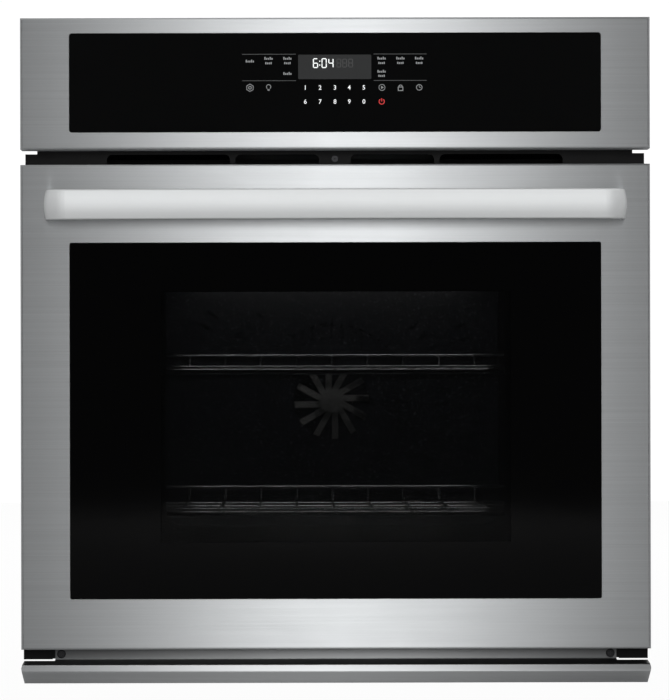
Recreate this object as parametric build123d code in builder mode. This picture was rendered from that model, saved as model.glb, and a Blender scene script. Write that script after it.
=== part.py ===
"""Built-in electric wall oven, 27 inch class, with a drop-down window door, two wire racks,
a convection fan and a touch control panel above the door.

The frame: +X is to the viewer's right, +Y runs from the front into the cabinet, +Z is up.
Y = 0 is the plane of the cabinet face, X = 0 the centre line and Z = 0 the chassis base.
All lengths are in millimetres.
"""

from build123d import *
import os

# Outer sizes of the front
OVERALL_W = 685.8
HALF_W = OVERALL_W / 2
FRONT_Y = -48.0
DOOR_BACK_Y = -12.0
DOOR_BOTTOM = 12.3
DOOR_TOP = 540.3
PANEL_BOTTOM = 557.1
PANEL_TOP = 700.1
PANEL_BACK_Y = -8.1
SKIN = 1.0

# Chassis box
BODY_HALF = 311.0
BODY_H = 692.0
BODY_FRONT = -6.5
BODY_BACK = 570.0
SHEET = 1.0
INNER_HALF = BODY_HALF - SHEET - 0.1
FRAME_BACK = -6.6
FRAME_T = 1.4
FRAME_FRONT = FRAME_BACK - FRAME_T

# Oven cavity
CAVITY_HALF = 267.5
CAVITY_Z0 = 65.0
CAVITY_Z1 = 495.0
CAVITY_REAR = 463.5
CAVITY_R = 12.0
LINER_T = 1.0
INSULATION_HALF = 291.5
INSULATION_Z0 = 30.0
INSULATION_Z1 = 520.0
INSULATION_BACK = 489.0

# Windows
GLASS_HALF = 289.2
GLASS_Z0 = 67.2
GLASS_Z1 = 455.2
WINDOW_HALF = 185.25
WINDOW_Z0 = 138.4
WINDOW_Z1 = 402.1
PACK_HALF = 204.0
PACK_Z0 = 112.0
PACK_Z1 = 428.0

# Stiffening beads on the door liner: half width, bottom and top of each rounded frame
BEAD_W = 5.0
BEAD_H = 1.2
LINER_BEADS = ((263.0, 66.0, 494.0), (203.0, 118.0, 422.0))

# Door hinge
PIVOT_Y = -30.0
PIVOT_Z = 30.0
PIN_R = 3.0
PIN_FIT = 0.05
HINGE_X = 300.5
ARM_T = 4.0
ARM_LOW = 24.0
ARM_HIGH = 40.0

# Handle
HANDLE_Z = 495.6
HANDLE_H = 33.0
HANDLE_END_X = 311.5
HANDLE_END_Y = -82.0
HANDLE_MID_Y = -92.0
HANDLE_EDGE = 2.5
HANDLE_OUTER_BULGE = 5.0
HANDLE_INNER_BULGE = 4.0
HANDLE_BEND_R = 20.0

# Racks and their supports
RACK_LEVELS = 7
RACK_PITCH = 52.4
RACK_FIRST_Z = 105.1
UPPER_RACK_Z = RACK_FIRST_Z + 4 * RACK_PITCH
LOWER_RACK_Z = RACK_FIRST_Z + 1 * RACK_PITCH
RACK_HALF = 254.5
RACK_FRONT = 30.0
RACK_REAR = 425.0
RACK_WIRE_PITCH = 42.6
FRAME_WIRE_R = 3.0
GRID_WIRE_R = 1.6
CROSS_WIRE_R = 2.8
STOP_POST_R = 1.9
RAIL_WIRE_R = 2.5
RAIL_X = 252.5
POST_X = 264.5
POST_FRONT_Y = 35.0
POST_REAR_Y = 415.0

# Convection fan, at the middle of the rear wall
FAN_Z = 279.5
FAN_SHAFT_R = 4.0
FAN_BLADES = 12
BLADE_W = 7.5
SHAFT_FIT = 0.05
BAFFLE_FRONT = 435.5
BAFFLE_HALF = 200.0
BAFFLE_HALF_H = 150.0
BAFFLE_BEADS = (95.0, 47.2)
RING_R = 95.0
RING_WIRE_R = 3.2
RING_Y = 450.0
RING_END_X = 13.22
RING_END_UP = 94.08

# Lamp and temperature sensor, near the top corners of the rear wall
LAMP_X = 232.0
LAMP_Z = 455.0

# Heating elements
BAKE_Z = 56.5
BAKE_R = 4.0
BROIL_Z = 474.0
BROIL_R = 3.5
TERMINAL_Y = 495.0

# Cooling air
DUCT_HALF = 286.0
DUCT_Z0 = 524.0
DUCT_Z1 = 557.0
DUCT_BACK = 176.0
BLOWER_HALF = 128.0
BLOWER_Y = 214.0
BLOWER_Z = 563.0
WHEEL_R = 28.0
FLUE_Y = 120.0
FLUE_R = 15.0
VENT_Z0 = 536.0
VENT_Z1 = 553.0
VENT_SLOTS = ((-250.0, -115.0), (-109.0, -17.5), (17.5, 109.0), (115.0, 250.0))
VENT_SCREW_Z = 548.0

# Control glass
PANEL_GLASS_HALF = 289.3
PANEL_GLASS_Z0 = 575.5
PANEL_GLASS_Z1 = 683.1

# Mounting flanges and bottom trim
FLANGE_T = 1.5
FLANGE_OUT = 340.0
FLANGE_TOP = 554.0
FLANGE_BOTTOM = -1.0
FLANGE_FOOT_TOP = 40.0
FLANGE_HOLE_X = 328.0
FLANGE_HOLE_Z = (60.0, 500.0)
FLANGE_HOLE_R = 2.5
TRIM_BOTTOM = -25.0
TRIM_SCREW_X = 301.1
TRIM_SCREW_Z = 5.4
TRIM_STRIP_HALF = 307.8

# Door switch
SWITCH_X = 300.0
SWITCH_Z = 512.0
PLUNGER_R = 2.5

# Supply inlet at the rear
CONDUIT_X = -100.0
CONDUIT_Z = 615.0
CONDUIT_R = 11.1


def facing(y):
    """A plane that faces the front at depth y; its extrusions come towards the front."""
    return Plane.XZ.offset(-y)


def across(x):
    """A plane that faces the right side at x; its local axes are Y and Z."""
    return Plane.YZ.offset(x)


def level(z):
    """A horizontal plane at height z."""
    return Plane.XY.offset(z)


def rect_at(a0, a1, b0, b1, corner=0.0, mode=Mode.ADD):
    """A rectangle between two corners of the sketch, with rounded corners if asked."""
    with Locations(((a0 + a1) / 2, (b0 + b1) / 2)):
        if corner > 0:
            RectangleRounded(a1 - a0, b1 - b0, corner, mode=mode)
        else:
            Rectangle(a1 - a0, b1 - b0, mode=mode)


def block(x0, x1, y0, y1, z0, z1, mode=Mode.ADD, corner=0.0):
    """A box between two corners, drawn as a foot and extruded up."""
    with BuildSketch(facing(y1)) as foot:
        rect_at(x0, x1, z0, z1, corner)
    extrude(foot.sketch, amount=y1 - y0, mode=mode)


def round_bar(x, z, radius, y0, y1, mode=Mode.ADD):
    """A round bar along Y."""
    with BuildSketch(facing(y1)) as end:
        with Locations((x, z)):
            Circle(radius)
    extrude(end.sketch, amount=y1 - y0, mode=mode)


def cross_bar(y, z, radius, x0, x1, mode=Mode.ADD):
    """A round bar along X."""
    with BuildSketch(across(x0)) as end:
        with Locations((y, z)):
            Circle(radius)
    extrude(end.sketch, amount=x1 - x0, mode=mode)


def upright(x, y, radius, z0, z1, mode=Mode.ADD):
    """A round bar along Z."""
    with BuildSketch(level(z0)) as end:
        with Locations((x, y)):
            Circle(radius)
    extrude(end.sketch, amount=z1 - z0, mode=mode)


def bent_wire(points, radii, wire_r):
    """A round wire along straight runs joined by bends."""
    with BuildLine() as path:
        FilletPolyline(*points, radius=radii)
    start = path.line @ 0
    with BuildSketch(Plane(origin=start, z_dir=path.line % 0)) as end:
        Circle(wire_r)
    sweep(end.sketch, path=path.line)


def hairpin(height, tube_r, inner_x, front_y):
    """A heating element: one long tube in hairpin bends in a level plane, both ends at the rear."""
    half = [
        (inner_x, TERMINAL_Y, height),
        (inner_x, front_y + 60, height),
        (inner_x + 70, front_y + 60, height),
        (inner_x + 70, 400, height),
        (inner_x + 160, 400, height),
        (inner_x + 160, front_y, height),
    ]
    other = [(-x, y, z) for x, y, z in reversed(half)]
    bent_wire(half + other, 30.0, tube_r)


def wire_rack(rack_z):
    """A chromed wire rack: thick frame wire, thin grid wires on it and a raised rear stop."""
    half_frame = [
        (0, RACK_FRONT, rack_z),
        (RACK_HALF, RACK_FRONT, rack_z),
        (RACK_HALF, RACK_REAR, rack_z),
        (0, RACK_REAR, rack_z),
    ]
    bent_wire(half_frame, 12.0, FRAME_WIRE_R)
    mirror(about=Plane.YZ)
    for depth in (165.0, 295.0):
        cross_bar(depth, rack_z, CROSS_WIRE_R, -RACK_HALF, RACK_HALF)
    half_stop = [
        (0, RACK_REAR, rack_z + 20),
        (RACK_HALF - 22, RACK_REAR, rack_z + 20),
        (RACK_HALF - 22, RACK_REAR, rack_z),
    ]
    bent_wire(half_stop, 12.0, 2.5)
    bent_wire([(-x, y, z) for x, y, z in half_stop], 12.0, 2.5)
    grid_z = rack_z + FRAME_WIRE_R + GRID_WIRE_R - 0.5
    cross_bar(RACK_FRONT + 6, grid_z + 0.4, 2.0, -RACK_HALF + 1, RACK_HALF - 1)
    for step in range(-5, 6):
        round_bar(step * RACK_WIRE_PITCH, grid_z, GRID_WIRE_R, RACK_FRONT - 3, RACK_REAR + 1.5)
        upright(step * RACK_WIRE_PITCH, RACK_REAR, STOP_POST_R, rack_z, rack_z + 20)


def rack_support(side):
    """A ladder of rails on one side wall: two posts, a rail for each level, and four wall studs."""
    x_post = side * POST_X
    x_rail = side * RAIL_X
    low = RACK_FIRST_Z - FRAME_WIRE_R - RAIL_WIRE_R - 0.4
    high = low + (RACK_LEVELS - 1) * RACK_PITCH
    for depth in (POST_FRONT_Y, POST_REAR_Y):
        upright(x_post, depth, RAIL_WIRE_R, low - 12, high + 12)
        for height in (low + 10, high - 10):
            cross_bar(depth, height, 4.0, min(x_post, side * CAVITY_HALF), max(x_post, side * CAVITY_HALF))
    for step in range(RACK_LEVELS):
        height = low + step * RACK_PITCH
        rail = [
            (x_post, POST_FRONT_Y, height),
            (x_rail, POST_FRONT_Y, height),
            (x_rail, POST_REAR_Y, height),
            (x_post, POST_REAR_Y, height),
        ]
        bent_wire(rail, 6.0, RAIL_WIRE_R)


# ---------------------------------------------------------------- chassis sheets

with BuildPart() as base_pan:
    block(-INNER_HALF, INNER_HALF, BODY_FRONT, BODY_BACK - SHEET - 0.1, 0, 20)
    block(-INNER_HALF + SHEET, INNER_HALF - SHEET, BODY_FRONT, BODY_BACK, SHEET, 20, Mode.SUBTRACT)
    with BuildSketch(level(0)):
        with Locations((0, 300)):
            with GridLocations(90, 120, 6, 3):
                SlotOverall(50, 6)
    extrude(amount=SHEET, mode=Mode.SUBTRACT)
base_pan.part.label = "base_pan"

with BuildPart() as left_side_panel:
    with BuildSketch(across(-BODY_HALF)):
        rect_at(BODY_FRONT, BODY_BACK, 0, BODY_H)
        with Locations((480, 610)):
            with GridLocations(60, 14, 2, 7):
                SlotOverall(46, 5, mode=Mode.SUBTRACT)
    extrude(amount=SHEET)
left_side_panel.part.label = "left_side_panel"

with BuildPart() as right_side_panel:
    mirror(left_side_panel.part, about=Plane.YZ)
right_side_panel.part.label = "right_side_panel"

with BuildPart() as rear_panel:
    with BuildSketch(facing(BODY_BACK)):
        rect_at(-INNER_HALF, INNER_HALF, SHEET + 0.1, BODY_H - SHEET - 0.1)
        with Locations((CONDUIT_X, CONDUIT_Z)):
            Circle(13.0, mode=Mode.SUBTRACT)
        with Locations((120, 620)):
            with GridLocations(62, 14, 4, 6):
                SlotOverall(48, 5, mode=Mode.SUBTRACT)
        with Locations((0, 60)):
            with GridLocations(62, 14, 8, 3):
                SlotOverall(48, 5, mode=Mode.SUBTRACT)
    extrude(amount=SHEET)
rear_panel.part.label = "rear_panel"

with BuildPart() as top_cover:
    with BuildSketch(level(BODY_H - SHEET)):
        rect_at(-INNER_HALF, INNER_HALF, BODY_FRONT, BODY_BACK - SHEET - 0.1)
        with Locations((0, 480)):
            with GridLocations(70, 20, 6, 3):
                SlotOverall(50, 6, mode=Mode.SUBTRACT)
    extrude(amount=SHEET)
top_cover.part.label = "top_cover"

with BuildPart() as front_frame:
    with BuildSketch(facing(FRAME_BACK)):
        rect_at(-BODY_HALF, BODY_HALF, 0.5, BODY_H - 2)
        rect_at(-CAVITY_HALF, CAVITY_HALF, CAVITY_Z0, CAVITY_Z1, CAVITY_R, Mode.SUBTRACT)
        for side in (-1, 1):
            inner_x = side * 14.0
            outer_x = side * (DUCT_HALF - 1)
            rect_at(min(inner_x, outer_x), max(inner_x, outer_x), 531, 556, 4, Mode.SUBTRACT)
            rect_at(side * HINGE_X - 4, side * HINGE_X + 4, ARM_LOW - 3, ARM_HIGH + 3, 2, Mode.SUBTRACT)
            with Locations((side * TRIM_SCREW_X, TRIM_SCREW_Z)):
                Circle(2.2, mode=Mode.SUBTRACT)
        rect_at(-60, 60, 600, 660, 6, Mode.SUBTRACT)
        with Locations((0, VENT_SCREW_Z)):
            Circle(1.9, mode=Mode.SUBTRACT)
        with Locations((SWITCH_X, SWITCH_Z)):
            Circle(PLUNGER_R + 0.5, mode=Mode.SUBTRACT)
    extrude(amount=FRAME_T)
front_frame.part.label = "front_frame"

# ---------------------------------------------------------------- cavity

with BuildPart() as cavity_liner:
    block(
        -CAVITY_HALF - LINER_T,
        CAVITY_HALF + LINER_T,
        BODY_FRONT,
        CAVITY_REAR + LINER_T,
        CAVITY_Z0 - LINER_T,
        CAVITY_Z1 + LINER_T,
        corner=CAVITY_R + LINER_T,
    )
    block(
        -CAVITY_HALF,
        CAVITY_HALF,
        BODY_FRONT - 1,
        CAVITY_REAR,
        CAVITY_Z0,
        CAVITY_Z1,
        Mode.SUBTRACT,
        CAVITY_R,
    )
    with BuildSketch(facing(CAVITY_REAR + LINER_T)):
        with Locations((0, FAN_Z)):
            Circle(14)
        with Locations((LAMP_X, LAMP_Z)):
            Circle(21)
        with Locations((-LAMP_X, LAMP_Z)):
            Circle(4)
        with Locations((-30, BROIL_Z), (30, BROIL_Z)):
            Circle(4.5)
        with Locations((-RING_END_X, FAN_Z + RING_END_UP), (RING_END_X, FAN_Z + RING_END_UP)):
            Circle(4.2)
    extrude(amount=LINER_T, mode=Mode.SUBTRACT)
    upright(0, FLUE_Y, 13.5, CAVITY_Z1 - 1, CAVITY_Z1 + 2, Mode.SUBTRACT)
cavity_liner.part.label = "cavity_liner"

with BuildPart() as insulation_blanket:
    block(-INSULATION_HALF, INSULATION_HALF, -4, INSULATION_BACK, INSULATION_Z0, INSULATION_Z1, corner=14)
    block(-269.5, 269.5, -5, INSULATION_BACK + 1, 49, 497, Mode.SUBTRACT)
    upright(0, FLUE_Y, FLUE_R + 1, 490, 530, Mode.SUBTRACT)
    with BuildSketch(facing(INSULATION_BACK)):
        rect_at(-269, 269, 66, 496)
        with Locations((0, FAN_Z)):
            Circle(16, mode=Mode.SUBTRACT)
        with Locations((LAMP_X, LAMP_Z)):
            Circle(30, mode=Mode.SUBTRACT)
        with Locations((-LAMP_X, LAMP_Z), (-30, BROIL_Z), (30, BROIL_Z)):
            Circle(8, mode=Mode.SUBTRACT)
        with Locations((-RING_END_X, FAN_Z + RING_END_UP), (RING_END_X, FAN_Z + RING_END_UP)):
            Circle(8, mode=Mode.SUBTRACT)
    extrude(amount=INSULATION_BACK - 466)
insulation_blanket.part.label = "insulation_blanket"

with BuildPart() as left_rack_support:
    rack_support(-1)
left_rack_support.part.label = "left_rack_support"

with BuildPart() as right_rack_support:
    rack_support(1)
right_rack_support.part.label = "right_rack_support"

with BuildPart() as lower_rack:
    wire_rack(LOWER_RACK_Z)
lower_rack.part.label = "lower_rack"

with BuildPart() as upper_rack:
    add(lower_rack.part.moved(Location((0, 0, UPPER_RACK_Z - LOWER_RACK_Z))))
upper_rack.part.label = "upper_rack"

with BuildPart() as bake_element:
    hairpin(BAKE_Z, BAKE_R, 40, 50)
bake_element.part.label = "bake_element"

with BuildPart() as broil_element:
    hairpin(BROIL_Z, BROIL_R, 30, 50)
broil_element.part.label = "broil_element"

with BuildPart() as broil_supports:
    for side in (-1, 1):
        block(side * 120 - 2, side * 120 + 2, 42, 58, BROIL_Z - 7, CAVITY_Z1)
        cross_bar(50, BROIL_Z, BROIL_R + 0.05, side * 120 - 3, side * 120 + 3, Mode.SUBTRACT)
        block(side * 190 - 8, side * 190 + 8, 248, 252, BROIL_Z - 7, CAVITY_Z1)
        round_bar(side * 190, BROIL_Z, BROIL_R + 0.05, 247, 253, Mode.SUBTRACT)
broil_supports.part.label = "broil_supports"

ring_plane = Plane(
    origin=(0, 0, FAN_Z),
    x_dir=(RING_END_X, 0, RING_END_UP),
    z_dir=(-RING_END_UP, 0, RING_END_X),
)
with BuildPart() as convection_element:
    with BuildSketch(ring_plane):
        with Locations((RING_R, RING_Y)):
            Circle(RING_WIRE_R)
    revolve(axis=Axis((0, 0, FAN_Z), (0, 1, 0)), revolution_arc=344)
    for side in (-1, 1):
        round_bar(side * RING_END_X, FAN_Z + RING_END_UP, RING_WIRE_R, RING_Y, TERMINAL_Y)
        with Locations((side * RING_END_X, RING_Y, FAN_Z + RING_END_UP)):
            Sphere(RING_WIRE_R + 0.3)
convection_element.part.label = "convection_element"

with BuildPart() as fan_baffle:
    block(
        -BAFFLE_HALF,
        BAFFLE_HALF,
        BAFFLE_FRONT,
        CAVITY_REAR - 0.1,
        FAN_Z - BAFFLE_HALF_H,
        FAN_Z + BAFFLE_HALF_H,
        corner=22,
    )
    front_edges = fan_baffle.faces().sort_by(Axis.Y)[0].edges()
    fillet(front_edges, radius=3)
    block(
        -BAFFLE_HALF + 1,
        BAFFLE_HALF - 1,
        BAFFLE_FRONT + 1,
        CAVITY_REAR,
        FAN_Z - BAFFLE_HALF_H + 1,
        FAN_Z + BAFFLE_HALF_H - 1,
        Mode.SUBTRACT,
        21,
    )
    with BuildSketch(facing(BAFFLE_FRONT + 2)):
        with Locations((0, FAN_Z)):
            Circle(45)
            with PolarLocations(77, 40):
                Circle(2.2)
            with PolarLocations(84, 44):
                Circle(2.2)
            with PolarLocations(91, 48):
                Circle(2.2)
            with PolarLocations(133, 15, start_angle=-60, angular_range=110):
                SlotOverall(16, 4)
            with PolarLocations(133, 15, start_angle=130, angular_range=110):
                SlotOverall(16, 4)
            with PolarLocations(177, 13, start_angle=-36, angular_range=72):
                SlotOverall(16, 4)
            with PolarLocations(177, 13, start_angle=144, angular_range=72):
                SlotOverall(16, 4)
    extrude(amount=3, mode=Mode.SUBTRACT)
    with BuildSketch(facing(BAFFLE_FRONT)):
        with Locations((0, FAN_Z)):
            for bead_r in BAFFLE_BEADS:
                Circle(bead_r + 0.7)
                Circle(bead_r - 0.7, mode=Mode.SUBTRACT)
    extrude(amount=0.7)
fan_baffle.part.label = "fan_baffle"

with BuildPart() as convection_fan:
    round_bar(0, FAN_Z, 13.6, 441, 460)
    round_bar(0, FAN_Z, FAN_SHAFT_R, 460, 505)
    with BuildSketch(facing(460)):
        with Locations((0, FAN_Z)):
            with PolarLocations(0, FAN_BLADES):
                with Locations((41, BLADE_W / 2)):
                    Rectangle(61, BLADE_W)
    extrude(amount=1)
    with BuildSketch(facing(441)):
        with Locations((0, FAN_Z)):
            RegularPolygon(7.5, 6)
    extrude(amount=4)
    with BuildSketch(facing(459.5)):
        with Locations((0, FAN_Z)):
            with PolarLocations(0, FAN_BLADES):
                with Locations((50, BLADE_W - 0.6)):
                    Rectangle(43, 1.2)
    extrude(amount=16)
convection_fan.part.label = "convection_fan"

with BuildPart() as fan_motor:
    block(-60, 60, 490, 491.5, FAN_Z - 22, FAN_Z + 22, corner=6)
    block(-32, 32, 491.5, 518, FAN_Z - 32, FAN_Z + 32, corner=4)
    round_bar(0, FAN_Z, 22, 518, 540)
    round_bar(0, FAN_Z, FAN_SHAFT_R + SHAFT_FIT, 489, 506, Mode.SUBTRACT)
fan_motor.part.label = "fan_motor"

with BuildPart() as lamp_housing:
    round_bar(LAMP_X, LAMP_Z, 24, CAVITY_REAR + 1.1, 506)
    round_bar(LAMP_X, LAMP_Z, 28, CAVITY_REAR + 1.1, CAVITY_REAR + 2.3)
    round_bar(LAMP_X, LAMP_Z, 22.8, CAVITY_REAR, 504, Mode.SUBTRACT)
lamp_housing.part.label = "lamp_housing"

with BuildPart() as lamp_bulb:
    round_bar(LAMP_X, LAMP_Z, 8, 490, 504)
    round_bar(LAMP_X, LAMP_Z, 10.5, 470, 490)
    fillet(lamp_bulb.faces().sort_by(Axis.Y)[0].edges(), radius=7)
lamp_bulb.part.label = "lamp_bulb"

with BuildPart() as lamp_lens:
    round_bar(LAMP_X, LAMP_Z, 27, 455.5, CAVITY_REAR - 0.05)
    fillet(lamp_lens.faces().sort_by(Axis.Y)[0].edges(), radius=4)
    round_bar(LAMP_X, LAMP_Z, 21, 459, CAVITY_REAR, Mode.SUBTRACT)
lamp_lens.part.label = "lamp_lens"

with BuildPart() as temperature_sensor:
    block(-LAMP_X - 17, -LAMP_X + 17, 462.2, CAVITY_REAR - 0.05, LAMP_Z - 8, LAMP_Z + 8, corner=2)
    round_bar(-LAMP_X, LAMP_Z, 2.5, 352, 462.2)
    round_bar(-LAMP_X, LAMP_Z, 3.6, CAVITY_REAR - 0.05, 486)
temperature_sensor.part.label = "temperature_sensor"

with BuildPart() as door_gasket:
    with BuildSketch(facing(FRAME_FRONT)):
        rect_at(-281.5, 281.5, 51, 509, 24)
        rect_at(-273.5, 273.5, 59, 501, 16, Mode.SUBTRACT)
    extrude(amount=3.6)
    fillet(door_gasket.faces().sort_by(Axis.Y)[0].edges(), radius=1.6)
door_gasket.part.label = "door_gasket"

# ---------------------------------------------------------------- cooling air

with BuildPart() as air_duct:
    block(-DUCT_HALF, DUCT_HALF, BODY_FRONT, DUCT_BACK, DUCT_Z0, DUCT_Z1)
    block(-DUCT_HALF + 1, DUCT_HALF - 1, BODY_FRONT - 1, DUCT_BACK - 1, DUCT_Z0 + 1, DUCT_Z1 - 1, Mode.SUBTRACT)
    block(-124, 124, DUCT_BACK - 2, DUCT_BACK + 1, 531, 551, Mode.SUBTRACT)
    upright(0, FLUE_Y, FLUE_R + 0.3, DUCT_Z0 - 1, DUCT_Z0 + 2, Mode.SUBTRACT)
air_duct.part.label = "air_duct"

with BuildPart() as oven_flue:
    upright(0, FLUE_Y, 24, CAVITY_Z1 + LINER_T, CAVITY_Z1 + LINER_T + 1)
    upright(0, FLUE_Y, FLUE_R, CAVITY_Z1 + LINER_T, 532)
    upright(0, FLUE_Y, 13.5, CAVITY_Z1, 533, Mode.SUBTRACT)
oven_flue.part.label = "oven_flue"

with BuildPart() as blower_housing:
    block(-BLOWER_HALF, BLOWER_HALF, DUCT_BACK + 1, 252, DUCT_Z0, 602)
    cross_bar(BLOWER_Y, BLOWER_Z, 33, -BLOWER_HALF + 3, BLOWER_HALF - 3, Mode.SUBTRACT)
    block(-124, 124, DUCT_BACK, BLOWER_Y, 531, 551, Mode.SUBTRACT)
    block(-120, 120, BLOWER_Y, 240, 585, 603, Mode.SUBTRACT)
    cross_bar(BLOWER_Y, BLOWER_Z, FAN_SHAFT_R + SHAFT_FIT, -BLOWER_HALF - 1, 0, Mode.SUBTRACT)
    cross_bar(BLOWER_Y, BLOWER_Z, 8, 0, BLOWER_HALF + 1, Mode.SUBTRACT)
blower_housing.part.label = "blower_housing"

with BuildPart() as blower_wheel:
    for disc_x in (-120.0, -0.5, 119.0):
        cross_bar(BLOWER_Y, BLOWER_Z, WHEEL_R, disc_x, disc_x + 1)
    with BuildSketch(across(-120)):
        with Locations((BLOWER_Y, BLOWER_Z)):
            with PolarLocations(24.4, 24):
                Rectangle(6.4, 0.8, rotation=24)
    extrude(amount=240)
    cross_bar(BLOWER_Y, BLOWER_Z, FAN_SHAFT_R, -BLOWER_HALF, -119)
    cross_bar(BLOWER_Y, BLOWER_Z, FAN_SHAFT_R, 119, 150)
blower_wheel.part.label = "blower_wheel"

with BuildPart() as blower_motor:
    cross_bar(BLOWER_Y, BLOWER_Z, 26, 131, 178)
    block(140, 166, BLOWER_Y - 20, BLOWER_Y + 20, DUCT_Z0, 545)
    cross_bar(BLOWER_Y, BLOWER_Z, FAN_SHAFT_R + SHAFT_FIT, 130, 152, Mode.SUBTRACT)
blower_motor.part.label = "blower_motor"

with BuildPart() as vent_trim:
    with BuildSketch(facing(FRAME_FRONT - 0.1)):
        rect_at(-300, 300, 524, 556.8, 1.5)
        for slot_x0, slot_x1 in VENT_SLOTS:
            rect_at(slot_x0, slot_x1, VENT_Z0, VENT_Z1, 6, Mode.SUBTRACT)
        with Locations((0, VENT_SCREW_Z)):
            Circle(1.9, mode=Mode.SUBTRACT)
        with Locations((SWITCH_X, SWITCH_Z)):
            Circle(PLUNGER_R + 2, mode=Mode.SUBTRACT)
    extrude(amount=1.2)
vent_trim.part.label = "vent_trim"

# ---------------------------------------------------------------- control panel

with BuildPart() as control_panel_frame:
    block(-HALF_W, HALF_W, FRONT_Y, PANEL_BACK_Y, PANEL_BOTTOM, PANEL_TOP)
    fillet(control_panel_frame.faces().sort_by(Axis.Y)[0].edges(), radius=2.5)
    block(
        -HALF_W + SKIN,
        HALF_W - SKIN,
        FRONT_Y + SKIN,
        PANEL_BACK_Y + 1,
        PANEL_BOTTOM + SKIN,
        PANEL_TOP - SKIN,
        Mode.SUBTRACT,
    )
    with BuildSketch(facing(FRONT_Y + 3)):
        rect_at(
            -PANEL_GLASS_HALF - 1.2,
            PANEL_GLASS_HALF + 1.2,
            PANEL_GLASS_Z0 - 1.2,
            PANEL_GLASS_Z1 + 1.2,
            4,
        )
    extrude(amount=2)
    with BuildSketch(facing(FRONT_Y + 4)):
        rect_at(
            -PANEL_GLASS_HALF - 0.3,
            PANEL_GLASS_HALF + 0.3,
            PANEL_GLASS_Z0 - 0.3,
            PANEL_GLASS_Z1 + 0.3,
            3.3,
        )
    extrude(amount=5, mode=Mode.SUBTRACT)
control_panel_frame.part.label = "control_panel_frame"

with BuildPart() as control_glass:
    block(
        -PANEL_GLASS_HALF,
        PANEL_GLASS_HALF,
        FRONT_Y + 0.3,
        FRONT_Y + 3.3,
        PANEL_GLASS_Z0,
        PANEL_GLASS_Z1,
        corner=3,
    )
    fillet(control_glass.faces().sort_by(Axis.Y)[0].edges(), radius=0.5)
control_glass.part.label = "control_glass"

with BuildPart() as display_module:
    block(-45, 45, FRONT_Y + 3.4, -33, 629, 664, corner=2)
display_module.part.label = "display_module"

with BuildPart() as control_board:
    block(-115, 115, -32.5, -31, 583, 676, corner=2)
    for corner_x in (-106.0, 106.0):
        for corner_z in (590.0, 669.0):
            round_bar(corner_x, corner_z, 3, FRONT_Y + 3.4, -32.5)
    block(-100, -60, -31, -14, 630, 665, corner=1)
    for relay_x in (-30.0, 0.0, 30.0, 60.0):
        block(relay_x - 9, relay_x + 9, -31, -17, 596, 620, corner=1)
    round_bar(85, 655, 8, -31, -15)
control_board.part.label = "control_board"

# ---------------------------------------------------------------- supply

with BuildPart() as junction_box:
    block(-190, -70, 500, BODY_BACK - SHEET - 0.1, 590, 680)
    block(-189, -71, 501, BODY_BACK, 591, 679, Mode.SUBTRACT)
junction_box.part.label = "junction_box"

with BuildPart() as terminal_block:
    block(-182, -132, 501, 520, 620, 645, corner=2)
    for post_x in (-172.0, -157.0, -142.0):
        block(post_x - 6, post_x + 6, 520, 528, 622, 643, corner=1)
        round_bar(post_x, 632.5, 3, 528, 531)
terminal_block.part.label = "terminal_block"

with BuildPart() as conduit_bush:
    round_bar(CONDUIT_X, CONDUIT_Z, 17, BODY_BACK, BODY_BACK + 3)
    round_bar(CONDUIT_X, CONDUIT_Z, 12.9, BODY_BACK - 7, BODY_BACK)
    with BuildSketch(facing(BODY_BACK - SHEET)):
        with Locations((CONDUIT_X, CONDUIT_Z)):
            RegularPolygon(18, 6)
    extrude(amount=4)
    round_bar(CONDUIT_X, CONDUIT_Z, CONDUIT_R, BODY_BACK - 8, BODY_BACK + 4, Mode.SUBTRACT)
conduit_bush.part.label = "conduit_bush"

# ---------------------------------------------------------------- mounting flanges and trim

with BuildPart() as right_side_flange:
    block(BODY_HALF, FLANGE_OUT, -FLANGE_T, 0, FLANGE_BOTTOM, FLANGE_TOP)
    block(BODY_HALF, HALF_W, -FLANGE_T, 0, FLANGE_BOTTOM, FLANGE_FOOT_TOP)
    block(BODY_HALF, 327, -FLANGE_T, 0, FLANGE_TOP, BODY_H - 2)
    block(BODY_HALF, BODY_HALF + FLANGE_T, 0, 22, 0, BODY_H - 2)
    for hole_z in FLANGE_HOLE_Z:
        round_bar(FLANGE_HOLE_X, hole_z, FLANGE_HOLE_R, -3, 1, Mode.SUBTRACT)
right_side_flange.part.label = "right_side_flange"

with BuildPart() as left_side_flange:
    mirror(right_side_flange.part, about=Plane.YZ)
left_side_flange.part.label = "left_side_flange"

with BuildPart() as bottom_trim:
    with BuildSketch(across(-HALF_W)):
        with BuildLine():
            FilletPolyline(
                (-8.5, 12),
                (-8.5, -1.0),
                (-47.5, -4.4),
                (-49.5, -11.4),
                (-37, -24.5),
                (-28, -24.5),
                radius=1.5,
            )
        trace(line_width=1)
    extrude(amount=OVERALL_W)
    for side in (-1, 1):
        wing_x0 = min(side * TRIM_STRIP_HALF, side * (HALF_W + 1))
        wing_x1 = max(side * TRIM_STRIP_HALF, side * (HALF_W + 1))
        block(wing_x0, wing_x1, -20, -7, -6, 14, Mode.SUBTRACT)
        round_bar(side * TRIM_SCREW_X, TRIM_SCREW_Z, 2.2, -10, -7, Mode.SUBTRACT)
        with BuildSketch(facing(-7)):
            with BuildLine():
                Polyline(
                    (side * (HALF_W + 1), -26),
                    (side * (HALF_W - 3.2), -26),
                    (side * (HALF_W - 3.0), -25),
                    (side * HALF_W, -8),
                    (side * (HALF_W - 2.6), 1.5),
                    (side * (HALF_W + 1), 1.5),
                    close=True,
                )
            make_face()
        extrude(amount=45, mode=Mode.SUBTRACT)
bottom_trim.part.label = "bottom_trim"

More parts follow.
